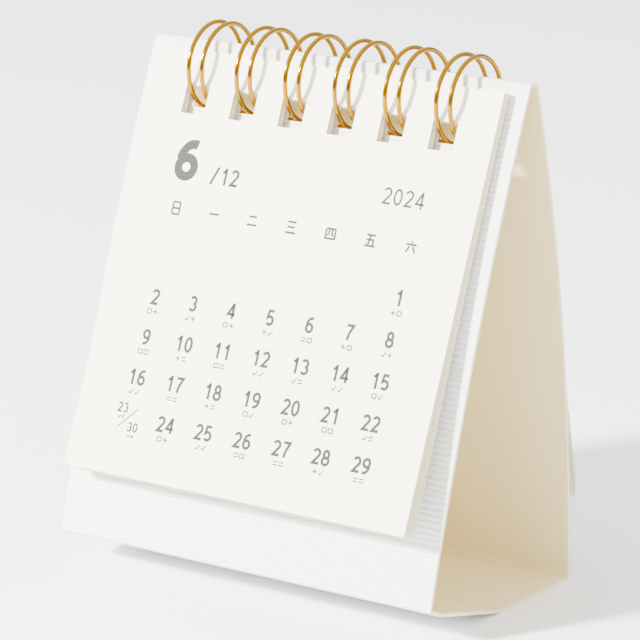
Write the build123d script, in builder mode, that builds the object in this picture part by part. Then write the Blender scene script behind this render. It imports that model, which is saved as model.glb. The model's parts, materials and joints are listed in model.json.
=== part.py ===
"""Desk calendar: loose month leaves on a twin-loop wire, hung over a folded card easel.

Millimetres, +Z up, front facing -Y. The origin is the centre of the footprint, on the table.
Every place is worked out in a side section (y, z) around the centre of the wire rings.
"""

from build123d import *
import os
from math import cos, sin, tan, radians, degrees, hypot, sqrt

# Easel stand, one strip of card folded and glued into a loop
stand_width = 96.0
board = 0.7
ridge_height = 110.0
ridge_width = 2.7
ridge_drop = 0.5
front_reach = 36.3
front_fold_height = 7.4
front_facet = 4.5
front_facet_slope = 25.0
front_bow = 2.0
back_reach = 13.4
back_bow = 3.6
heel_facet_run = 0.7
heel_facet_rise = 1.2
fold_radius = 0.9

# Leaves
page_width = 88.0
page_height = 92.0
leaf = 0.25
following_count = 6
turned_count = 5
front_lean = 23.1
back_lean = 11.3
following_splay = 1.18
turned_splay = 2.61
leaf_gap = 0.3
ridge_pass = 0.25

# Punched holes
hole_count = 6
hole_pitch = 12.7
hole_width = 6.1
hole_height = 6.1
leaf_hole_margin = 7.6

# The middles of the card's holes lie this far above where the rings pass through
front_hole_lead = 1.9
back_hole_lead = 1.81

# Twin-loop wire
ring_radius = 9.35
wire = 1.0
pair_gap = 3.5
ring_behind_ridge = 1.75
ring_below_ridge = 5.7
root_bend = 1.2
root_angle = 10.0
seam_gap = 2.1
wire_stub = 3.0
wire_rest = 0.15

# The last turned leaf rides this much higher than the wire would hold it, on those under it
turned_ride_up = 1.45

front_angle = radians(front_lean)
back_angle = radians(back_lean)
ring_z = ridge_height - ring_below_ridge

# How far the leaf planes lie from the ring centre: the current leaf just passes over the ridge
front_offset = hypot(ring_behind_ridge, ring_below_ridge) + ridge_pass + leaf
turned_offset = front_offset - leaf - leaf_gap


def crossing(offset):
    """Distance along a leaf from the foot of its perpendicular to where the ring passes it."""
    return sqrt(ring_radius**2 - offset**2)


def wire_half_cut(offset):
    """Half the length of the wire's slanting cut in a leaf at this offset."""
    return wire / 2 * ring_radius / crossing(offset)


def hang(offset):
    """Height of a leaf's top edge above the ring centre, measured along the leaf."""
    return leaf_hole_margin + wire_rest + wire_half_cut(offset) - crossing(offset)


front_rise = hang(front_offset)
turned_rise = hang(turned_offset) + turned_ride_up
turned_block_offset = turned_offset - leaf - leaf_gap
turned_block_rise = hang(turned_block_offset)

# The footprint runs from the bottom of the current leaf to the bottom of the last turned leaf
leaf_front = -front_offset * cos(front_angle) - (page_height - front_rise) * sin(front_angle)
leaf_back = turned_offset * cos(back_angle) + (page_height - turned_rise) * sin(back_angle)
ring_y = -(leaf_front + leaf_back) / 2

ring_xs = [(i - (hole_count - 1) / 2) * hole_pitch for i in range(hole_count)]


def leaf_plane(side, lean, offset, rise):
    """Plane of a leaf's outer face, with its origin at the middle of the top edge and +Y up it.

    side is -1 for a leaf at the front and +1 for one at the back.
    """
    out = Vector(0, side * cos(lean), sin(lean))
    up = Vector(0, -side * sin(lean), cos(lean))
    centre = Vector(0, ring_y, ring_z)
    return Plane(origin=centre + out * offset + up * rise, x_dir=(-side, 0, 0), z_dir=out)


current_plane = leaf_plane(-1, front_angle, front_offset, front_rise)
following_plane = leaf_plane(-1, front_angle, front_offset - leaf - leaf_gap, front_rise)
last_turned_plane = leaf_plane(1, back_angle, turned_offset, turned_rise)
turned_plane = leaf_plane(1, back_angle, turned_block_offset, turned_block_rise)


def leaf_holes(plane, depth):
    """Cut the row of binding holes through a leaf or block of leaves from its outer face."""
    with BuildSketch(plane) as holes:
        with Locations((0, -leaf_hole_margin - hole_height / 2)):
            with GridLocations(hole_pitch, 0, hole_count, 1):
                Rectangle(hole_width, hole_height)
    extrude(holes.sketch, amount=-depth, mode=Mode.SUBTRACT)


def block_depth(thickness, splay):
    """Depth of a fanned block of leaves at its foot."""
    return thickness + page_height * tan(radians(splay))


def block_section(plane, thickness, splay):
    """Corners of a fanned block of leaves in the (y, z) section, thin at the binding edge."""
    foot = block_depth(thickness, splay)
    corners = [(0, 0), (-page_height, 0), (-page_height, -foot), (0, -thickness)]
    points = [plane.from_local_coords((0, along, out)) for along, out in corners]
    return [(point.Y, point.Z) for point in points]


# Side section of the stand, outer face
ridge_front = (ring_y - ring_behind_ridge, ridge_height)
ridge_back = (ridge_front[0] + ridge_width, ridge_height - ridge_drop)
fold_top = (ridge_front[0] - front_reach, front_fold_height)
facet_run = front_facet * cos(radians(front_facet_slope))
facet_fall = front_facet * sin(radians(front_facet_slope))
fold_bottom = (fold_top[0] + facet_run, front_fold_height - facet_fall)
heel_top = (ridge_back[0] + back_reach, heel_facet_rise)
heel = (heel_top[0] - heel_facet_run, 0)

# The base crease halves the loop, so that the stand folds flat about the ridge and the crease
front_length = Edge.make_line(ridge_front, fold_top).length + front_facet
heel_facet = hypot(heel_facet_run, heel_facet_rise)
back_length = Edge.make_line(ridge_back, heel_top).length + heel_facet
spare = back_length - front_length + heel[0] - fold_bottom[0]
crease = (fold_bottom[0] + (spare**2 - fold_bottom[1] ** 2) / (2 * spare), 0)


def ring_cut(top, foot):
    """Distance down a straight line from the ridge to where a ring passes it, inside the stand."""
    down = Vector(foot[0] - top[0], foot[1] - top[1]).normalized()
    to_ring = Vector(ring_y - top[0], ring_z - top[1])
    along = to_ring.dot(down)
    return along + sqrt(ring_radius**2 - to_ring.length**2 + along**2)


with BuildPart() as easel_stand:
    with BuildSketch(Plane.YZ.offset(-stand_width / 2)) as section:
        with BuildLine():
            front_panel = SagittaArc(ridge_front, fold_top, -front_bow)
            Polyline(fold_top, fold_bottom, crease, heel, heel_top)
            back_panel = SagittaArc(heel_top, ridge_back, -back_bow)
            Line(ridge_back, ridge_front)
        make_face()
        offset(amount=-board, mode=Mode.SUBTRACT)
        fillet(section.face().outer_wire().vertices(), radius=fold_radius)
        fillet(section.face().inner_wires().vertices(), radius=fold_radius - board)
    extrude(amount=stand_width)
    front_drop = ring_cut(ridge_front, fold_top) - front_hole_lead
    back_drop = ring_cut(ridge_back, heel_top) - back_hole_lead
    for panel, along in ((front_panel, front_drop), (back_panel, back_panel.length - back_drop)):
        spot = panel.position_at(along / panel.length)
        lie = panel.tangent_at(along / panel.length)
        hole_centre = Vector(0, spot.X, spot.Y)
        outward = Vector(0, lie.Y, -lie.X)
        with BuildSketch(Plane(origin=hole_centre, x_dir=(1, 0, 0), z_dir=outward)) as slots:
            with GridLocations(hole_pitch, 0, hole_count, 1):
                Rectangle(hole_width, hole_height)
        extrude(slots.sketch, amount=2 * board, both=True, mode=Mode.SUBTRACT)
easel_stand.part.label = "easel_stand"

with BuildPart() as current_leaf:
    with BuildSketch(current_plane):
        with Locations((0, -page_height / 2)):
            Rectangle(page_width, page_height)
    extrude(amount=-leaf)
    leaf_holes(current_plane, leaf)
current_leaf.part.label = "current_leaf"

with BuildPart() as following_leaves:
    stack = following_count * leaf
    with BuildSketch(Plane.YZ.offset(-page_width / 2)):
        Polygon(*block_section(following_plane, stack, following_splay), align=None)
    extrude(amount=page_width)
    leaf_holes(following_plane, block_depth(stack, following_splay))
following_leaves.part.label = "following_leaves"

with BuildPart() as last_turned_leaf:
    with BuildSketch(last_turned_plane):
        with Locations((0, -page_height / 2)):
            Rectangle(page_width, page_height)
    extrude(amount=-leaf)
    leaf_holes(last_turned_plane, leaf)
last_turned_leaf.part.label = "last_turned_leaf"

with BuildPart() as turned_leaves:
    stack = turned_count * leaf
    with BuildSketch(Plane.YZ.offset(-page_width / 2)):
        Polygon(*block_section(turned_plane, stack, turned_splay), align=None)
    extrude(amount=page_width)
    leaf_holes(turned_plane, block_depth(stack, turned_splay))
turned_leaves.part.label = "turned_leaves"


# Angles round a ring run from +Y towards +Z; the seam lies at the bottom, inside the stand
root_turn = radians(-90.0 - root_angle)
tip_turn = root_turn + seam_gap / ring_radius
centre_line = Axis((0, ring_y, ring_z), (1, 0, 0))


def on_ring(x, angle):
    """Point of a ring's centre line at this angle, in the plane x."""
    return Vector(x, ring_y + ring_radius * cos(angle), ring_z + ring_radius * sin(angle))


def along_ring(angle):
    """Direction in which a ring leaves its root: round the front and up."""
    return Vector(0, sin(angle), -cos(angle))


def bend(start, heading, pivot, axis_dir, angle):
    """A round bar of wire from start, carried through an arc about a pivot."""
    with BuildSketch(Plane(origin=start, z_dir=heading)) as bar:
        Circle(wire / 2)
    revolve(bar.sketch, axis=Axis(pivot, axis_dir), revolution_arc=angle)


def root_run(start, length):
    """A straight run of wire along +X."""
    with BuildSketch(Plane(origin=start, z_dir=(1, 0, 0))) as bar:
        Circle(wire / 2)
    extrude(bar.sketch, amount=length)


with BuildPart() as twin_loop_wire:
    root_heading = along_ring(root_turn)
    tip_heading = along_ring(tip_turn)
    side_normal = Vector(1, 0, 0).cross(root_heading)
    tip_normal = Vector(1, 0, 0).cross(tip_heading)
    round_ring = 360.0 - degrees(tip_turn - root_turn)
    root_back = on_ring(0, root_turn) - root_heading * root_bend
    for x in ring_xs:
        left, right = x - pair_gap / 2, x + pair_gap / 2
        for bar_x in (left, right):
            bend(on_ring(bar_x, root_turn), root_heading, centre_line.position, (-1, 0, 0), round_ring)
        bend(on_ring(left, tip_turn), tip_heading, on_ring(x, tip_turn), tip_normal, -180)
        for bar_x, turn in ((left, 90), (right, -90)):
            pivot = on_ring(bar_x, root_turn) - Vector(turn / 90 * root_bend, 0, 0)
            bend(on_ring(bar_x, root_turn), root_heading, pivot, side_normal, -turn)
    run = hole_pitch - pair_gap - 2 * root_bend
    for x in ring_xs[:-1]:
        root_run(root_back + Vector(x + pair_gap / 2 + root_bend, 0, 0), run)
    root_run(root_back + Vector(ring_xs[-1] + pair_gap / 2 + root_bend, 0, 0), wire_stub)
    root_run(root_back + Vector(ring_xs[0] - pair_gap / 2 - root_bend - wire_stub, 0, 0), wire_stub)
twin_loop_wire.part.label = "twin_loop_wire"

os.makedirs("parts", exist_ok=True)
for piece in (easel_stand, current_leaf, following_leaves, last_turned_leaf, turned_leaves,
              twin_loop_wire):
    export_step(piece.part, f"parts/{piece.part.label}.step")
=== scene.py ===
"""Tent desk calendar: the card easel, the loose leaves, their print and the wire, on the frame.

Metres, +Z up, front facing -Y. Places come from the frame's boxes and hinge line.
"""

import json
from math import cos, radians, sin

import bpy
import numpy as np
from bpy.props import FloatProperty, FloatVectorProperty, IntProperty, PointerProperty
from bpy.types import Operator, Panel, PropertyGroup
from mathutils import Matrix, Vector


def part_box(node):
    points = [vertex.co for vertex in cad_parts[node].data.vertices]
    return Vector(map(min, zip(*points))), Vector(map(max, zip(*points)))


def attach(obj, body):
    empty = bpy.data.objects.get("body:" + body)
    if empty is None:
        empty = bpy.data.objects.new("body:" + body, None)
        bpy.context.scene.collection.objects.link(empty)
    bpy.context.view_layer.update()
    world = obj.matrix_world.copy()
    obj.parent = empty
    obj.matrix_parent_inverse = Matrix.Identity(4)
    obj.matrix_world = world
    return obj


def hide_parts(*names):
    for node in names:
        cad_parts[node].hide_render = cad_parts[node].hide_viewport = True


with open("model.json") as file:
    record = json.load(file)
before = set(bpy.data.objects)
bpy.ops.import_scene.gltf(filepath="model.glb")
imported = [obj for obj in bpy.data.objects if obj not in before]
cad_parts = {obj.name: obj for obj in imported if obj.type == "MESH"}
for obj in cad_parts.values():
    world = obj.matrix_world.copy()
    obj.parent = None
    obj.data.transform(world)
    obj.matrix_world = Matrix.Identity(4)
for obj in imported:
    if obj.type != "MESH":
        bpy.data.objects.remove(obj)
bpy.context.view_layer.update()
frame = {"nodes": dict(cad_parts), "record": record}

bl_info = {
    "name": "Desk Calendar",
    "version": (1, 0, 0),
    "blender": (4, 5, 0),
    "location": "View3D > Sidebar > Desk Calendar",
    "description": "Builds a tent desk calendar around its packed frame",
    "category": "Add Mesh",
}

MM = 0.001
RING_CENTRE = Vector(frame["record"]["behaviour"]["joints"][0]["pos_m"])
FRONT, BACK = -1, 1
STRIPS = 4  # folds between the two panels of the stand
PANEL_ROWS = 49  # evenly spaced rows of a bowed panel, before the rows at its holes
ROW_CLEARANCE = 1.0 * MM  # the least distance from an even row to the edge of a hole
LEAF_ROWS = 25  # rows of a leaf below its holes
FAN_POWER = 1.3  # how late down its height a fanned leaf leaves its neighbour


def length(default, name, description):
    """A length property in metres, given in millimetres."""
    return FloatProperty(name=name, description=description, default=default * MM,
                         unit="LENGTH", precision=5)


def angle(default, name, description):
    """An angle property, given in degrees."""
    return FloatProperty(name=name, description=description, default=radians(default),
                         subtype="ANGLE")


def colour(default, name, description):
    """A colour property in linear light."""
    return FloatVectorProperty(name=name, description=description, default=default,
                               subtype="COLOR", size=3, min=0.0, max=1.0)


class StandSizes(PropertyGroup):
    board: length(0.7, "Board", "Thickness of the card")
    ridge_height: length(110.0, "Ridge height", "Top of the ridge above the table")
    ridge_behind: length(1.75, "Ridge offset", "Ridge's front edge in front of the ring centre")
    ridge_width: length(2.7, "Ridge width", "Flat on top of the ridge")
    ridge_drop: length(0.5, "Ridge drop", "Fall of the ridge from front to back")
    front_reach: length(36.3, "Front reach", "How far the front panel runs forward")
    front_fold_height: length(7.4, "Front fold height", "Front fold above the table")
    front_facet: length(4.5, "Front facet", "Strip between the two front folds")
    front_facet_slope: angle(25.0, "Front facet slope", "Slope of that strip")
    front_bow: length(2.0, "Front bow", "Bulge of the front panel")
    back_reach: length(13.4, "Back reach", "How far the back panel runs backward")
    back_bow: length(3.6, "Back bow", "Bulge of the back panel")
    heel_run: length(0.7, "Heel run", "Depth of the heel's strip")
    heel_rise: length(1.2, "Heel rise", "Height of the heel's strip")
    crease_behind: length(-11.907, "Crease", "Base crease behind the ring centre")
    fold_round: length(0.5, "Fold round", "Rounding of the folds")
    front_hole_drop: length(8.49, "Front hole drop", "Ridge to the front holes, along the panel")
    back_hole_drop: length(9.4, "Back hole drop", "Ridge to the back holes, along the panel")
    rib_pitch: length(1.25, "Rib pitch", "Spacing of the ribs pressed into the card")
    # Painted shade in the folds' creases: half width of its dark line.
    score: length(0.45, "Score", "Half width of the score line inside each fold")
    # Painted shadow of the rings along the ridge's top: how far it reaches down, and its beige
    # colour.
    worn_depth: length(2.2, "Worn depth", "How far the ridge's wear reaches down")
    worn: colour((0.78, 0.68, 0.52), "Worn", "Rubbed colour of the ridge")
    outside: colour((0.86, 0.865, 0.84), "Outside", "White ribbed face")
    inside: colour((0.84, 0.72, 0.42), "Inside", "Plain cream face")
    cut_edge: colour((0.92, 0.83, 0.6), "Cut edge", "Bare edge of the card")


class LeafSizes(PropertyGroup):
    width: length(88.0, "Width", "Width of a leaf")
    height: length(92.0, "Height", "Height of a leaf")
    pitch: length(0.25, "Pitch", "Spacing of the leaves at their top edge")
    thickness: length(0.2, "Thickness", "Thickness of the paper")
    front_lean: angle(23.1, "Front lean", "Lean of the front leaves")
    back_lean: angle(11.3, "Back lean", "Lean of the turned leaves")
    following_count: IntProperty(name="Following", description="Leaves under the current one",
                                 default=6)
    turned_count: IntProperty(name="Turned", description="Leaves under the last turned one",
                              default=5)
    following_fan: length(1.895, "Following fan", "Spread of the following leaves' feet")
    turned_fan: length(4.194, "Turned fan", "Spread of the turned leaves' feet")
    stagger: length(0.35, "Stagger", "Unevenness of the leaves' edges")
    paper: colour((0.88, 0.85, 0.66), "Paper", "Warm white paper")
    edge: colour((0.88, 0.77, 0.48), "Edge", "Cut edge of the paper")


class HoleSizes(PropertyGroup):
    count: IntProperty(name="Count", description="Holes in the row", default=6)
    pitch: length(12.7, "Pitch", "Spacing of the holes")
    width: length(6.1, "Width", "Width of a hole")
    height: length(6.1, "Height", "Height of a hole")
    margin: length(7.6, "Margin", "Top edge of a leaf to its holes")


class PrintSizes(PropertyGroup):
    lift: length(0.02, "Lift", "Print above the paper")
    layer: length(0.004, "Layer", "Height between strokes that cross")
    first_column: length(13.8, "First column", "Left edge to the middle of the first column")
    column: length(10.07, "Column", "Spacing of the weekday columns")
    weekday_row: length(34.1, "Weekday row", "Top edge to the weekday marks")
    first_row: length(44.75, "First row", "Top edge to the first row of dates")
    row: length(8.7, "Row", "Spacing of the rows of dates")
    date_height: length(3.4, "Date height", "Height of a date's figures")
    month_height: length(8.4, "Month height", "Height of the large month number")
    month_middle: length(13.9, "Month middle", "Left edge to the middle of the month number")
    month_line: length(27.8, "Month line", "Top edge to the foot of the month number")
    word_height: length(3.7, "Small heading", "Height of the small heading figures")
    word_middle: length(24.4, "Heading middle", "Left edge to the middle of the small heading")
    year_middle: length(69.8, "Year middle", "Left edge to the middle of the year")
    year_line: length(26.3, "Year line", "Top edge to the foot of the year")
    mark_size: length(2.6, "Mark size", "Size of a weekday mark")
    pen: length(0.46, "Pen", "Width of the strokes of a weekday mark")
    fine_pen: length(0.27, "Fine pen", "Width of the strokes of a note mark")
    note_size: length(1.3, "Note size", "Size of a note mark")
    note_step: length(1.55, "Note step", "Spacing of the note marks")
    note_drop: length(1.45, "Note drop", "Foot of a date to the middle of its note")
    split_run: length(1.75, "Split run", "Half the distance between the two dates of a split cell")
    ink: colour((0.042, 0.04, 0.036), "Ink", "Dark grey print")
    soft_ink: colour((0.045, 0.042, 0.038), "Soft ink", "Mid grey of the large month number")


class WireSizes(PropertyGroup):
    metal: colour((0.34, 0.17, 0.0), "Metal", "Gold colour of the wire")


class StudioSizes(PropertyGroup):
    camera_place: FloatVectorProperty(name="Camera", description="Camera's place", unit="LENGTH",
                                      default=(0.4789, -0.6577, 0.2761), size=3)
    turn: angle(36.05, "Turn", "Camera's turn about the upright axis")
    tilt: angle(15.21, "Tilt", "Camera's downward tilt")
    roll: angle(-0.48, "Roll", "Camera's roll")
    lens: FloatProperty(name="Lens", description="Focal length in millimetres", default=225.0)
    key_power: FloatProperty(name="Key", description="Power of the key light", default=105.0,
                             unit="POWER")
    key_size: length(160.0, "Key size", "Width of the key light's disk")
    key_distance: length(1300.0, "Key distance", "Key light to the point it aims at")
    key_aim: length(60.0, "Key aim", "Height of that point above the table")
    key_travel: FloatVectorProperty(name="Key travel", description="Way the key's light travels",
                                    default=(1.0, 1.72, -1.1), size=3, subtype="DIRECTION")
    room: FloatProperty(name="Room", description="Strength of the room's light overhead",
                        default=2.6)
    horizon: FloatProperty(name="Horizon", description="Strength of the room's light at eye level",
                           default=0.9)
    room_top: FloatProperty(name="Room top", default=0.7,
                            description="Sine of the height where the room's light is full")
    floor_reach: length(4000.0, "Floor reach", "Half the width of the floor")
    floor: colour((0.97, 0.97, 0.965), "Floor", "Pale floor")


# Materials


def new_material(name, base, roughness):
    """(material, its node tree, its shader) of a new material of one colour and roughness."""
    material = bpy.data.materials.new(name)
    material.use_nodes = True
    tree = material.node_tree
    shader = tree.nodes["Principled BSDF"]
    shader.inputs["Base Color"].default_value = (*base, 1.0)
    shader.inputs["Roughness"].default_value = roughness
    return material, tree, shader


def add_node(tree, kind, settings=None, **inputs):
    """A node with its settings, and its inputs set to values or linked to sockets.

    An input is called by its name, or by i and its number.
    """
    node = tree.nodes.new(kind)
    for key, value in (settings or {}).items():
        setattr(node, key, value)
    for key, value in inputs.items():
        numbered = key[0] == "i" and key[1:].isdigit()
        slot = node.inputs[int(key[1:]) if numbered else key]
        if isinstance(value, bpy.types.NodeSocket):
            tree.links.new(value, slot)
        else:
            slot.default_value = value
    return node


def coordinates(tree, kind="Object"):
    """Object coordinates, in metres, or the direction of view in a world's own tree."""
    return tree.nodes.new("ShaderNodeTexCoord").outputs[kind]


def sheet_coordinates(tree):
    """Coordinates on the flat sheet, in metres: x across it and y along it."""
    return add_node(tree, "ShaderNodeUVMap", {"uv_map": "sheet"}).outputs["UV"]


def part(tree, place, axis):
    """One coordinate, X, Y or Z, of a place."""
    return add_node(tree, "ShaderNodeSeparateXYZ", Vector=place).outputs[axis]


def stretch(tree, place, scale):
    """A place with each coordinate multiplied by its own scale."""
    return add_node(tree, "ShaderNodeMapping", Vector=place, Scale=scale).outputs[0]


def noise(tree, place, scale, detail=3.0):
    """The value of a noise over a place, at a scale in cycles a metre."""
    return add_node(tree, "ShaderNodeTexNoise", Vector=place, Scale=scale,
                    Detail=detail).outputs["Fac"]


def maths(tree, operation, first, second=0.0):
    """The result of one sum on two values or sockets."""
    return add_node(tree, "ShaderNodeMath", {"operation": operation}, i0=first,
                    i1=second).outputs[0]


def ease(tree, value, start, end, low, high):
    """A value that goes smoothly from low to high as another goes from start to end."""
    return add_node(tree, "ShaderNodeMapRange", {"interpolation_type": "SMOOTHSTEP"}, i0=value,
                    i1=start, i2=end, i3=low, i4=high).outputs[0]


def mix_colours(tree, factor, tint, rgb):
    """A tint mixed with a plain colour by a factor."""
    return add_node(tree, "ShaderNodeMix", {"data_type": "RGBA"}, i0=factor, i6=tint,
                    i7=(*rgb, 1.0)).outputs[2]


def blend_colours(tree, factor, low, high):
    """A colour that goes from low to high as the factor goes from 0 to 1."""
    ramp = tree.nodes.new("ShaderNodeValToRGB")
    ramp.color_ramp.elements[0].color = (*low, 1.0)
    ramp.color_ramp.elements[1].color = (*high, 1.0)
    tree.links.new(factor, ramp.inputs[0])
    return ramp.outputs[0]


def set_bump(tree, shader, height, depth):
    """Raises the surface by a height times a depth in metres."""
    bump = add_node(tree, "ShaderNodeBump", Height=height, Distance=depth)
    tree.links.new(bump.outputs["Normal"], shader.inputs["Normal"])


def shade(rgb, factor):
    """A colour made darker or lighter by a factor."""
    return tuple(min(1.0, part * factor) for part in rgb)


def ribbed_card(sizes):
    """White card pressed into fine level ribs that waver a little, with painted shade on it.

    A rib's height is half of 1 + sin(2 pi y / pitch + 5 waver), with y along the sheet and waver a
    soft noise. Painted shade darkens the colour down in each rib's trough, and where the card nears
    the ridge's height, beige patches of a finer noise are the rings' painted shadow.
    """
    material, tree, shader = new_material("ribbed_card", sizes.outside, roughness=0.62)
    place = sheet_coordinates(tree)
    lengthened = stretch(tree, place, (1.0, 3.0, 1.0))
    waver = noise(tree, lengthened, scale=110.0, detail=2.0)
    turns = maths(tree, "MULTIPLY", part(tree, place, "Y"), 2 * np.pi / sizes.rib_pitch)
    phase = maths(tree, "ADD", turns, maths(tree, "MULTIPLY", waver, 5.0))
    wave = maths(tree, "MULTIPLY", maths(tree, "ADD", maths(tree, "SINE", phase), 1.0), 0.5)
    grain = maths(tree, "MULTIPLY", noise(tree, lengthened, scale=1500.0, detail=4.0), 0.5)
    set_bump(tree, shader, maths(tree, "ADD", wave, grain), depth=0.13 * MM)
    # Painted shade: the card's colour is darker down in each rib's trough and lighter on its crest.
    tint = blend_colours(tree, wave, shade(sizes.outside, 0.87), shade(sizes.outside, 1.02))
    # Painted shadow of the rings: beige patches of noise near the ridge's height.
    ridge_shade_band = ease(tree, part(tree, coordinates(tree), "Z"), sizes.ridge_height - sizes.worn_depth,
                sizes.ridge_height, 0.0, 1.0)
    ridge_shade_patches = maths(tree, "MULTIPLY", ridge_shade_band, noise(tree, lengthened, scale=260.0))
    tree.links.new(mix_colours(tree, ridge_shade_patches, tint, sizes.worn), shader.inputs["Base Color"])
    return material


def score_lines(tree, tint, folds, half_width, dark):
    """A tint darkened in fine lines across the sheet at each fold: painted shade in the creases."""
    down = part(tree, sheet_coordinates(tree), "Y")
    for fold in folds:
        away = maths(tree, "ABSOLUTE", maths(tree, "SUBTRACT", down, fold))
        tint = mix_colours(tree, ease(tree, away, 0.0, half_width, 1.0, 0.0), tint, dark)
    return tint


def plain_card(name, rgb, mottle, folds=(), fold_width=0.0):
    """Plain card with a faint cloudiness and a fine tooth, with painted shade lines at its folds.
    """
    material, tree, shader = new_material(name, rgb, roughness=0.75)
    place = coordinates(tree)
    clouds = noise(tree, place, scale=45.0, detail=4.0)
    tint = blend_colours(tree, clouds, shade(rgb, 1.0 - mottle), shade(rgb, 1.0 + mottle))
    # Painted shade: darker lines across the card at each fold.
    tint = score_lines(tree, tint, folds, fold_width, shade(rgb, 0.72))
    tree.links.new(tint, shader.inputs["Base Color"])
    set_bump(tree, shader, noise(tree, place, scale=2600.0), depth=0.02 * MM)
    return material


def page_paper(sizes):
    """Uncoated paper: warm white, with short fibres and a fine tooth."""
    material, tree, shader = new_material("page_paper", sizes.paper, roughness=0.68)
    place = coordinates(tree)
    fibres = noise(tree, stretch(tree, place, (1.0, 3.0, 3.0)), scale=420.0, detail=5.0)
    tint = blend_colours(tree, fibres, shade(sizes.paper, 0.985), shade(sizes.paper, 1.01))
    tree.links.new(tint, shader.inputs["Base Color"])
    set_bump(tree, shader, noise(tree, place, scale=2200.0, detail=4.0), depth=0.015 * MM)
    return material


def printing_ink(name, rgb):
    """Flat ink with a fine speckle and hardly any gloss."""
    material, tree, shader = new_material(name, rgb, roughness=0.6)
    shader.inputs["Specular IOR Level"].default_value = 0.08
    speckle = noise(tree, coordinates(tree), scale=1800.0)
    tint = blend_colours(tree, speckle, shade(rgb, 0.8), shade(rgb, 1.25))
    tree.links.new(tint, shader.inputs["Base Color"])
    return material


def gold_wire(sizes):
    """Bright drawn wire with a faint unevenness."""
    material, tree, shader = new_material("gold_wire", sizes.metal, roughness=0.14)
    shader.inputs["Metallic"].default_value = 1.0
    place = coordinates(tree)
    tint = blend_colours(tree, noise(tree, place, scale=300.0), shade(sizes.metal, 0.85),
                         shade(sizes.metal, 1.12))
    tree.links.new(tint, shader.inputs["Base Color"])
    set_bump(tree, shader, noise(tree, place, scale=900.0), depth=0.012 * MM)
    return material


def floor_sheet(sizes):
    """Plain pale floor with a faint grain."""
    material, tree, shader = new_material("floor_sheet", sizes.floor, roughness=0.9)
    set_bump(tree, shader, noise(tree, coordinates(tree), scale=400.0), depth=0.02 * MM)
    return material


# Surfaces


def add_object(name, data):
    """A new object that holds the data, linked to the scene."""
    thing = bpy.data.objects.new(name, data)
    bpy.context.scene.collection.objects.link(thing)
    return thing


def surface(name, points, uvs, keep, materials, closed=False):
    """A mesh object over a grid of points, one four-sided face for each kept cell.

    points is rows by columns by 3. Where the rows close on themselves, uvs has one more row.
    """
    rows, columns = points.shape[:2]
    index = np.arange(rows * columns).reshape(rows, columns)
    if closed:
        index = np.vstack([index, index[:1]])

    def corners(grid):
        return np.stack([grid[:-1, :-1], grid[1:, :-1], grid[1:, 1:], grid[:-1, 1:]], 2)[keep]

    mesh = bpy.data.meshes.new(name)
    mesh.from_pydata(points.reshape(-1, 3).tolist(), [], corners(index).tolist())
    layer = mesh.uv_layers.new(name="sheet")
    layer.data.foreach_set("uv", corners(uvs).reshape(-1).astype(np.float32))
    for material in materials:
        mesh.materials.append(material)
    mesh.update()
    return add_object(name, mesh)


def thicken(piece, thickness, back_face, rim):
    """Gives a sheet its thickness, inward. back_face and rim are the numbers of their materials."""
    solid = piece.modifiers.new("thickness", "SOLIDIFY")
    solid.thickness = thickness
    solid.offset = -1.0
    solid.use_even_offset = True
    solid.material_offset = back_face
    solid.material_offset_rim = rim


def hole_lines(holes, half_width):
    """Positions across the sheet of its sides and of both sides of each hole."""
    middles = (np.arange(holes.count) - (holes.count - 1) / 2) * holes.pitch
    sides = np.stack([middles - holes.width / 2, middles + holes.width / 2], 1).reshape(-1)
    return np.concatenate([[-half_width], sides, [half_width]])


def between(lines, low, high):
    """Which cells of a row of lines lie between two places."""
    middles = (lines[:-1] + lines[1:]) / 2
    return (middles > low) & (middles < high)


def holed(across, along, holes, hole_tops):
    """Mask of the cells that stay: all but the cells of the row of holes at each hole top."""
    in_hole = np.arange(len(across) - 1) % 2 == 1
    keep = np.ones((len(along) - 1, len(across) - 1), bool)
    for top in hole_tops:
        keep &= ~np.outer(between(along, top, top + holes.height), in_hole)
    return keep


def bowed_line(start, end, bow, steps):
    """Points of a circle's arc from start to end that bulges by bow, out to the right of travel.

    steps are fractions of the arc's length. The radius is chord squared over eight bows, plus
    half a bow, and a point's angle from the arc's middle goes evenly with its fraction.
    """
    chord = end - start
    span = np.hypot(*chord)
    ahead = chord / span
    right = np.array([ahead[1], -ahead[0]])
    radius = span**2 / (8 * bow) + bow / 2
    spread = np.arcsin(span / (2 * radius)) * (2 * steps - 1)
    middle = (start + end) / 2
    return (middle + np.outer(radius * np.sin(spread), ahead)
            + np.outer(radius * np.cos(spread) - radius + bow, right))


def arc_length(chord, bow):
    """Length of a circle's arc over a chord, bulging by bow."""
    radius = chord**2 / (8 * bow) + bow / 2
    return 2 * radius * np.arcsin(chord / (2 * radius))


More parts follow.
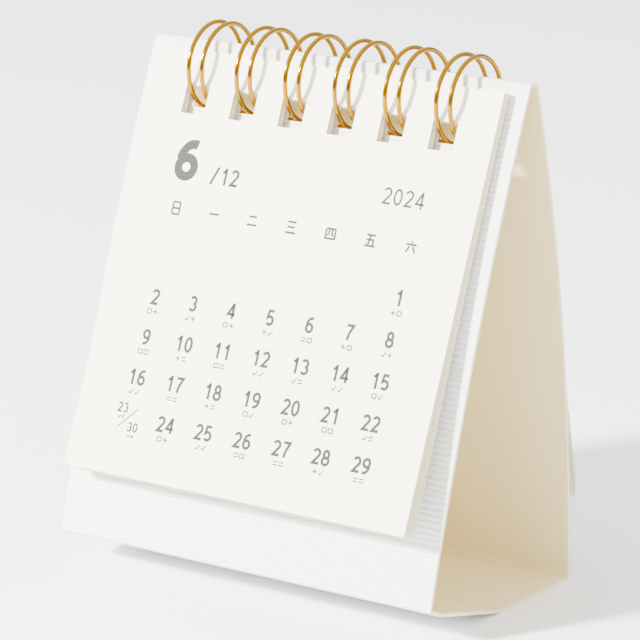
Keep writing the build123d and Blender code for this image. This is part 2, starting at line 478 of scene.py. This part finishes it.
def stand_profile(sizes, holes):
    """(outer face of the card loop in the (y, z) section, number of rows of its front panel).

    It goes from the ridge's front edge down the front, under, and up the back: two bowed panels
    joined by straight strips, with rows at the edges of the panels' holes.
    """
    ridge_front = np.array([RING_CENTRE.y - sizes.ridge_behind, sizes.ridge_height])
    ridge_back = ridge_front + [sizes.ridge_width, -sizes.ridge_drop]
    fold_top = np.array([ridge_front[0] - sizes.front_reach, sizes.front_fold_height])
    slope = sizes.front_facet_slope
    fold_bottom = fold_top + sizes.front_facet * np.array([cos(slope), -sin(slope)])
    heel_top = np.array([ridge_back[0] + sizes.back_reach, sizes.heel_rise])
    heel = heel_top - [sizes.heel_run, sizes.heel_rise]
    crease = np.array([RING_CENTRE.y + sizes.crease_behind, 0.0])

    def panel(start, end, bow, hole_start):
        span = arc_length(np.hypot(*(end - start)), bow)
        first = hole_start if hole_start > 0 else span + hole_start - holes.height
        marks = np.array([first, first + holes.height])
        even = np.linspace(0, span, PANEL_ROWS)[:-1]
        clear = (even <= marks[0] - ROW_CLEARANCE) | (even >= marks[1] + ROW_CLEARANCE)
        steps = np.sort(np.concatenate([even[clear], marks])) / span
        return bowed_line(start, end, bow, steps)

    front = panel(ridge_front, fold_top, sizes.front_bow, sizes.front_hole_drop)
    strips = np.array([fold_top, fold_bottom, crease, heel])
    back = panel(heel_top, ridge_back, sizes.back_bow, -sizes.back_hole_drop)
    return np.concatenate([front, strips, back, ridge_back[None]]), len(front)


def add_stand(sizes, holes):
    """The card easel, one strip of ribbed card folded into a loop, with its holes.

    The surface is (x, y(t), z(t)), with x across and (y, z) the profile at the length t along it.
    """
    profile, front_rows = stand_profile(sizes, holes)
    half_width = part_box("easel_stand")[1][0]
    across = hole_lines(holes, half_width)
    steps = np.hypot(*np.diff(np.vstack([profile, profile[:1]]), axis=0).T)
    along = np.concatenate([[0.0], np.cumsum(steps)])
    points = np.empty((len(profile), len(across), 3))
    points[..., 0] = across
    points[..., 1:] = profile[:, None]
    uvs = np.stack(np.broadcast_arrays(across[None], along[:, None]), -1)
    back_end = along[len(profile) - 1]
    hole_tops = [sizes.front_hole_drop, back_end - sizes.back_hole_drop - holes.height]
    keep = holed(across, along, holes, hole_tops)
    outside = ribbed_card(sizes)
    folds = along[front_rows:front_rows + STRIPS]
    # The inside face gets painted shade lines at its folds.
    inside = plain_card("card_inside", sizes.inside, mottle=0.02, folds=folds,
                        fold_width=sizes.score)
    cut_edge = plain_card("card_cut_edge", sizes.cut_edge, mottle=0.04)
    stand = surface("easel_card", points, uvs, keep, [outside, inside, cut_edge], closed=True)
    bevel = stand.modifiers.new("folds", "BEVEL")
    bevel.width = sizes.fold_round
    bevel.segments = 3
    bevel.limit_method = "ANGLE"
    bevel.angle_limit = radians(9.0)  # more than a panel's rows turn, less than any fold
    thicken(stand, sizes.board, back_face=1, rim=2)
    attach(stand, "stand")
    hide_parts("easel_stand")


def leaf_frame(node, side, lean, thickness):
    """(top edge's middle, direction across, down and out) of the outer face of a leaf node."""
    low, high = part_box(node)
    edge = high[1] if side == FRONT else low[1]
    top = np.array([0.0, edge + side * thickness * cos(lean), high[2]])
    across = np.array([-side, 0.0, 0.0])
    down = np.array([0.0, side * sin(lean), -cos(lean)])
    out = np.array([0.0, side * cos(lean), sin(lean)])
    return top, across, down, out


def add_leaf(name, place, sizes, holes, materials, top_depth=0.0, foot_depth=0.0, shift=(0, 0)):
    """A loose leaf with its row of holes.

    The surface is top + v down + u across - d(v) out. The depth d behind the block's outer face
    goes from the top depth to the foot depth as (v / height) to the fan's power.
    """
    top, across, down, out = place
    columns = hole_lines(holes, sizes.width / 2)
    below_holes = holes.margin + holes.height
    lower_rows = np.linspace(0, sizes.height - below_holes, LEAF_ROWS) + below_holes
    rows = np.concatenate([[0.0, holes.margin], lower_rows])
    depth = top_depth + (foot_depth - top_depth) * (rows / sizes.height) ** FAN_POWER
    points = (top + np.multiply.outer(rows + shift[1], down)[:, None]
              + np.multiply.outer(columns + shift[0], across)[None]
              - np.multiply.outer(depth, out)[:, None])
    uvs = np.stack(np.broadcast_arrays(columns[None], -rows[:, None]), -1)
    keep = holed(columns, rows, holes, [holes.margin])
    leaf = surface(name, points, uvs, keep, materials)
    thicken(leaf, sizes.thickness, back_face=0, rim=1)
    return leaf


def add_block(node, side, lean, count, fan, sizes, holes, materials):
    """The separate leaves of a fanned block, each a little out of line with the next.

    Returns the frame of the block's outer face.
    """
    place = leaf_frame(node, side, lean, count * sizes.pitch)
    scatter = np.random.default_rng(count)
    for number in range(count):
        share = number / (count - 1)
        top_depth = number * sizes.pitch
        shift = scatter.uniform(-sizes.stagger / 2, sizes.stagger / 2, 2) * (number > 0)
        leaf = add_leaf(f"{node}_{number + 1}", place, sizes, holes, materials, top_depth,
                        top_depth + share * fan, shift)
        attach(leaf, "stand")
    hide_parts(node)
    return place


# Print: shapes in a flat page space, x to the right and y up from the page's top left corner


def bow(x, y, reach_x, reach_y, start, turn, steps=14):
    """Points of an ellipse's arc about (x, y), from a start angle through a turn, in degrees."""
    angles = np.radians(start + turn * np.linspace(0, 1, steps))
    return np.stack([x + reach_x * np.cos(angles), y + reach_y * np.sin(angles)], 1)


def runs(*points):
    """Straight runs between points."""
    return np.array(points, float)


# Pen paths of the figures, on a box 1 high, with the pen's half width kept inside
FIGURE_WIDTH = 0.6
BOWL = bow(0.3, 0.32, 0.22, 0.24, 0, 360, 28)
FIGURES = {
    "0": [bow(0.3, 0.5, 0.22, 0.42, 0, 360, 32)],
    "1": [runs((0.12, 0.72), (0.24, 0.78), (0.34, 0.92), (0.36, 0.92), (0.36, 0.0))],
    "2": [np.vstack([bow(0.3, 0.69, 0.21, 0.23, 165, -205), runs((0.1, 0.08), (0.56, 0.08))])],
    "3": [bow(0.28, 0.7, 0.2, 0.22, 155, -240), bow(0.29, 0.3, 0.22, 0.22, 85, -240)],
    "4": [runs((0.6, 0.28), (0.08, 0.28), (0.4, 0.9), (0.43, 0.9), (0.43, 0.0))],
    "5": [np.vstack([runs((0.52, 0.92), (0.15, 0.92), (0.1, 0.5)),
                     bow(0.28, 0.33, 0.23, 0.25, 115, -260)])],
    "6": [BOWL, bow(0.42, 0.42, 0.34, 0.5, 75, 95, 16)],
    "7": [runs((0.05, 0.92), (0.53, 0.92), (0.46, 0.78), (0.3, 0.45), (0.22, 0.0))],
    "8": [bow(0.3, 0.7, 0.18, 0.22, 0, 360, 24), bow(0.3, 0.29, 0.23, 0.22, 0, 360, 28)],
    "/": [runs((0.08, -0.05), (0.5, 1.0))],
}
FIGURES["9"] = [(FIGURE_WIDTH, 1.0) - path for path in FIGURES["6"]]


def pen_stroke(path, pen, layer):
    """Vertices and faces of a flat ribbon of the pen's width along a path, on a layer of its own.

    A point's two edges lie at p + s and p - s. With a and b the directions of the runs before and
    after it, s is the vector m = 2 (a + b) / |a + b|^2, turned square and half a pen long.
    """
    ahead = np.diff(path, axis=0)
    ahead /= np.hypot(*ahead.T)[:, None]
    closed = np.allclose(path[0], path[-1])
    first, last = (ahead[-1], ahead[0]) if closed else (ahead[0], ahead[-1])
    before, after = np.vstack([first, ahead]), np.vstack([ahead, last])
    mean = before + after
    mean *= 2 / (mean**2).sum(1)[:, None]
    side = mean[:, ::-1] * [-1, 1] * pen / 2
    start = np.arange(len(path) - 1)
    faces = np.stack([start, start + 1, start + 1 + len(path), start + len(path)], 1)
    flat = np.vstack([path + side, path - side])
    return np.column_stack([flat, np.full(len(flat), layer)]), faces.tolist()


def figures(text, height, middle, baseline, pen, width=1.0, gap=0.1):
    """Vertices and faces of a line of figures centred on middle and standing on baseline.

    pen, width and gap are shares of the height.
    """
    step = FIGURE_WIDTH * width + gap
    left = middle / height - (len(text) * step - gap) / 2
    parts = [pen_stroke(path * [width, 1.0] + [left + place * step, 0.0], pen, layer)
             for place, figure in enumerate(text) for layer, path in enumerate(FIGURES[figure])]
    points, faces = merge(parts)
    return points * [height, height, 1.0] + [0.0, baseline, 0.0], faces


def merge(shapes):
    """One set of vertices and faces from several."""
    starts = np.cumsum([0] + [len(points) for points, _ in shapes[:-1]])
    faces = [[vertex + start for vertex in face] for start, (_, part) in zip(starts, shapes)
             for face in part]
    return np.concatenate([points for points, _ in shapes]), faces


def strokes(segments, width, middle, centre, size):
    """Vertices and faces of straight pen strokes given in a box from -1 to 1."""
    ends = np.array(segments, float).reshape(-1, 2, 2) * size / 2
    run = ends[:, 1] - ends[:, 0]
    ahead = run / np.hypot(run[:, 0], run[:, 1])[:, None] * width / 2
    side = ahead[:, ::-1] * [-1, 1]
    corners = np.stack([ends[:, 0] - side, ends[:, 1] - side, ends[:, 1] + side,
                        ends[:, 0] + side], 1)
    flat = corners.reshape(-1, 2) + [middle, centre]
    layers = np.repeat(np.arange(len(corners)), 4)
    return np.column_stack([flat, layers]), np.arange(len(flat)).reshape(-1, 4).tolist()


# Weekday marks, as pen strokes from one end to the other
DAY_MARKS = (
    ((-0.7, 1, 0.7, 1), (-0.7, -1, 0.7, -1), (-0.7, -1, -0.7, 1), (0.7, -1, 0.7, 1),
     (-0.7, 0, 0.7, 0)),
    ((-1, 0, 1, 0),),
    ((-0.75, 0.65, 0.75, 0.65), (-1, -0.7, 1, -0.7)),
    ((-0.85, 0.85, 0.85, 0.85), (-0.7, 0, 0.7, 0), (-1, -0.9, 1, -0.9)),
    ((-0.9, 0.8, 0.9, 0.8), (-0.9, -0.8, 0.9, -0.8), (-0.9, -0.95, -0.9, 0.8),
     (0.9, -0.95, 0.9, 0.8), (-0.3, 0.8, -0.35, -0.1), (-0.35, -0.1, -0.6, -0.35),
     (0.25, 0.8, 0.25, -0.2), (0.25, -0.2, 0.65, -0.2)),
    ((-0.85, 0.85, 0.85, 0.85), (-0.75, 0.1, 0.6, 0.1), (-1, -0.9, 1, -0.9),
     (-0.1, 0.85, -0.4, -0.9), (0.6, 0.1, 0.5, -0.9)),
    ((0.0, 1.0, 0.12, 0.65), (-1, 0.4, 1, 0.4), (-0.35, 0.1, -0.85, -0.9),
     (0.35, 0.1, 0.85, -0.9)),
)
WEEK = len(DAY_MARKS)

# Dates past the last row share its cells, two to a cell, each at a share of its size
DATE_ROWS = 5
SPLIT_SHARE = 0.62
SPLIT_RISE = 1.1  # how far above and below the middle of the cell they lie, in split runs
SPLIT_LINE = 2.6  # length of the slanting line between them, in split runs

# Pen widths as shares of the height of the figures, and how wide the broader figures are drawn
MONTH_PEN, HEADING_PEN, YEAR_PEN, DATE_PEN = 0.24, 0.17, 0.13, 0.19
MONTH_WIDTH, YEAR_WIDTH = 1.12, 1.05

# Tiny note marks under a date: plain bars, a cross, an open box and a tick
NOTE_MARKS = (
    ((-0.9, 0.5, 0.9, 0.5), (-0.9, -0.5, 0.9, -0.5)),
    ((-0.9, 0.0, 0.9, 0.0), (0.0, 0.9, 0.0, -0.9)),
    ((-0.8, 0.7, 0.8, 0.7), (-0.8, -0.7, 0.8, -0.7), (-0.8, 0.7, -0.8, -0.7),
     (0.8, 0.7, 0.8, -0.7)),
    ((-0.8, -0.1, -0.2, -0.8), (-0.2, -0.8, 0.9, 0.8)),
)


def calendar_page(month, first_day, days, sizes):
    """The print of one month: (figures and marks in dark ink, the large number in soft ink)."""
    soft = [figures(str(month), sizes.month_height, sizes.month_middle, -sizes.month_line,
                    MONTH_PEN, MONTH_WIDTH)]
    dark = [figures("/12", sizes.word_height, sizes.word_middle, -sizes.month_line, HEADING_PEN),
            figures("2024", sizes.word_height, sizes.year_middle, -sizes.year_line, YEAR_PEN,
                    YEAR_WIDTH)]
    columns = sizes.first_column + np.arange(WEEK) * sizes.column
    for middle, mark in zip(columns, DAY_MARKS):
        dark.append(strokes(mark, sizes.pen, middle, -sizes.weekday_row, sizes.mark_size))
    scatter = np.random.default_rng(month)
    for day in range(1, days + 1):
        row, column = divmod(day - 1 + first_day, WEEK)
        middle, share = columns[column], 1.0
        line = -sizes.first_row - min(row, DATE_ROWS - 1) * sizes.row
        shares_cell = row == DATE_ROWS - 1 and day + WEEK <= days
        if row == DATE_ROWS or shares_cell:
            side = 1 if row == DATE_ROWS else -1
            if side > 0:
                cell = line + (1 - SPLIT_RISE) * sizes.split_run
                dark.append(strokes(((-1, -1, 1, 1),), sizes.fine_pen, middle, cell,
                                    SPLIT_LINE * sizes.split_run))
            share = SPLIT_SHARE
            middle += side * sizes.split_run
            line -= side * SPLIT_RISE * sizes.split_run
        height = share * sizes.date_height
        dark.append(figures(str(day), height, middle, line - height / 2, DATE_PEN))
        note_line = line - height / 2 - share * sizes.note_drop
        for turn, kind in enumerate(scatter.integers(0, len(NOTE_MARKS), 2)):
            note_middle = middle + (turn - 0.5) * share * sizes.note_step
            dark.append(strokes(NOTE_MARKS[kind], sizes.fine_pen, note_middle, note_line,
                                share * sizes.note_size))
    return dark, soft


def add_print(name, shapes, place, sizes, page_width, material, body):
    """Lays flat shapes on a leaf's outer face."""
    top, across, down, out = place
    flat, faces = merge(shapes)
    points = (top + np.multiply.outer(flat[:, 0] - page_width / 2, across)
              - np.multiply.outer(flat[:, 1], down)
              + np.multiply.outer(sizes.lift + sizes.layer * flat[:, 2], out))
    mesh = bpy.data.meshes.new(name)
    mesh.from_pydata(points.tolist(), [], faces)
    mesh.materials.append(material)
    mesh.update()
    piece = add_object(name, mesh)
    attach(piece, body)


# Operators


class CALENDAR_OT_stand(Operator):
    """Build the folded card easel"""

    bl_idname = "calendar.stand"
    bl_label = "Card Easel"

    def execute(self, context):
        scene = context.scene
        add_stand(scene.calendar_stand, scene.calendar_holes)
        return {"FINISHED"}


class CALENDAR_OT_leaves(Operator):
    """Build the loose leaves and their print"""

    bl_idname = "calendar.leaves"
    bl_label = "Leaves"

    def execute(self, context):
        scene = context.scene
        leaves, holes = scene.calendar_leaves, scene.calendar_holes
        sizes = scene.calendar_print
        materials = [page_paper(leaves), plain_card("page_edge", leaves.edge, mottle=0.05)]
        dark, soft = printing_ink("ink", sizes.ink), printing_ink("soft_ink", sizes.soft_ink)
        following = add_block("following_leaves", FRONT, leaves.front_lean,
                              leaves.following_count, leaves.following_fan, leaves, holes,
                              materials)
        add_block("turned_leaves", BACK, leaves.back_lean, leaves.turned_count,
                  leaves.turned_fan, leaves, holes, materials)
        current = leaf_frame("current_leaf", FRONT, leaves.front_lean, leaves.pitch)
        turned = leaf_frame("last_turned_leaf", BACK, leaves.back_lean, leaves.pitch)
        for node, place, body in (("current_leaf", current, "current"),
                                  ("last_turned_leaf", turned, "last_turned")):
            leaf = add_leaf(f"{node}_sheet", place, leaves, holes, materials)
            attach(leaf, body)
            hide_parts(node)
        for label, month, first_day, days, place, body in (
                ("june", 6, 6, 30, current, "current"), ("july", 7, 1, 31, following, "stand")):
            dates, number = calendar_page(month, first_day, days, sizes)
            add_print(f"{label}_dates", dates, place, sizes, leaves.width, dark, body)
            add_print(f"{label}_number", number, place, sizes, leaves.width, soft, body)
        return {"FINISHED"}


class CALENDAR_OT_wire(Operator):
    """Finish the twin-loop wire"""

    bl_idname = "calendar.wire"
    bl_label = "Twin-loop Wire"

    def execute(self, context):
        wire = frame["nodes"]["twin_loop_wire"]
        wire.data.materials.clear()
        wire.data.materials.append(gold_wire(context.scene.calendar_wire))
        return {"FINISHED"}


class CALENDAR_OT_studio(Operator):
    """Set the floor, the lights and the camera"""

    bl_idname = "calendar.studio"
    bl_label = "Studio"

    def execute(self, context):
        sizes = context.scene.calendar_studio
        add_floor(sizes)
        add_lights(sizes)
        add_camera(sizes)
        return {"FINISHED"}


# Studio


def add_floor(sizes):
    """A wide pale floor under the calendar."""
    edges = np.array([-1, 1]) * sizes.floor_reach
    points = np.zeros((2, 2, 3))
    points[..., 0] = edges[None]
    points[..., 1] = -edges[:, None]
    floor = surface("studio_floor", points, points[..., :2], np.ones((1, 1), bool),
                    [floor_sheet(sizes)])


def add_lights(sizes):
    """A key light from the upper front left, and an even pale room."""
    key = bpy.data.lights.new("key_light", "AREA")
    key.shape = "DISK"
    key.size = sizes.key_size
    key.energy = sizes.key_power
    lamp = add_object("key_light", key)
    travel = Vector(sizes.key_travel).normalized()
    lamp.location = Vector((0.0, 0.0, sizes.key_aim)) - travel * sizes.key_distance
    lamp.rotation_mode = "QUATERNION"
    lamp.rotation_quaternion = travel.to_track_quat("-Z", "Y")
    world = bpy.data.worlds.new("studio_room")
    world.use_nodes = True
    tree = world.node_tree
    height = part(tree, coordinates(tree, "Generated"), "Z")
    strength = ease(tree, height, 0.0, sizes.room_top, sizes.horizon, sizes.room)
    tree.links.new(strength, tree.nodes["Background"].inputs["Strength"])
    tree.nodes["Background"].inputs["Color"].default_value = (1.0, 1.0, 1.0, 1.0)
    bpy.context.scene.world = world


def add_camera(sizes):
    """The camera, turned about the upright axis, tilted down and rolled."""
    data = bpy.data.cameras.new("studio_camera")
    data.sensor_width = 36.0
    data.lens = sizes.lens
    data.clip_start, data.clip_end = 0.01, 50.0
    camera = add_object("studio_camera", data)
    turn = Matrix.Rotation(sizes.turn, 4, "Z")
    tilt = Matrix.Rotation(radians(90) - sizes.tilt, 4, "X")
    roll = Matrix.Rotation(sizes.roll, 4, "Z")
    camera.matrix_world = Matrix.Translation(sizes.camera_place) @ turn @ tilt @ roll
    bpy.context.scene.camera = camera


class CALENDAR_PT_panel(Panel):
    """Sidebar panel with the calendar's steps"""

    bl_label = "Desk Calendar"
    bl_idname = "CALENDAR_PT_panel"
    bl_space_type = "VIEW_3D"
    bl_region_type = "UI"
    bl_category = "Desk Calendar"

    def draw(self, context):
        for step in STEPS:
            self.layout.operator(step.bl_idname)


STEPS = (CALENDAR_OT_stand, CALENDAR_OT_leaves, CALENDAR_OT_wire, CALENDAR_OT_studio)
SETTINGS = {"calendar_stand": StandSizes, "calendar_leaves": LeafSizes,
            "calendar_holes": HoleSizes, "calendar_print": PrintSizes,
            "calendar_wire": WireSizes, "calendar_studio": StudioSizes}


def register():
    for group in (*SETTINGS.values(), *STEPS, CALENDAR_PT_panel):
        bpy.utils.register_class(group)
    for name, group in SETTINGS.items():
        setattr(bpy.types.Scene, name, PointerProperty(type=group))


def unregister():
    for name in SETTINGS:
        delattr(bpy.types.Scene, name)
    for group in (CALENDAR_PT_panel, *reversed(STEPS), *reversed(list(SETTINGS.values()))):
        bpy.utils.unregister_class(group)


def main():
    """Registers the add-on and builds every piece."""
    register()
    bpy.ops.calendar.stand()
    bpy.ops.calendar.leaves()
    bpy.ops.calendar.wire()
    bpy.ops.calendar.studio()


if __name__ == "__main__":
    main()
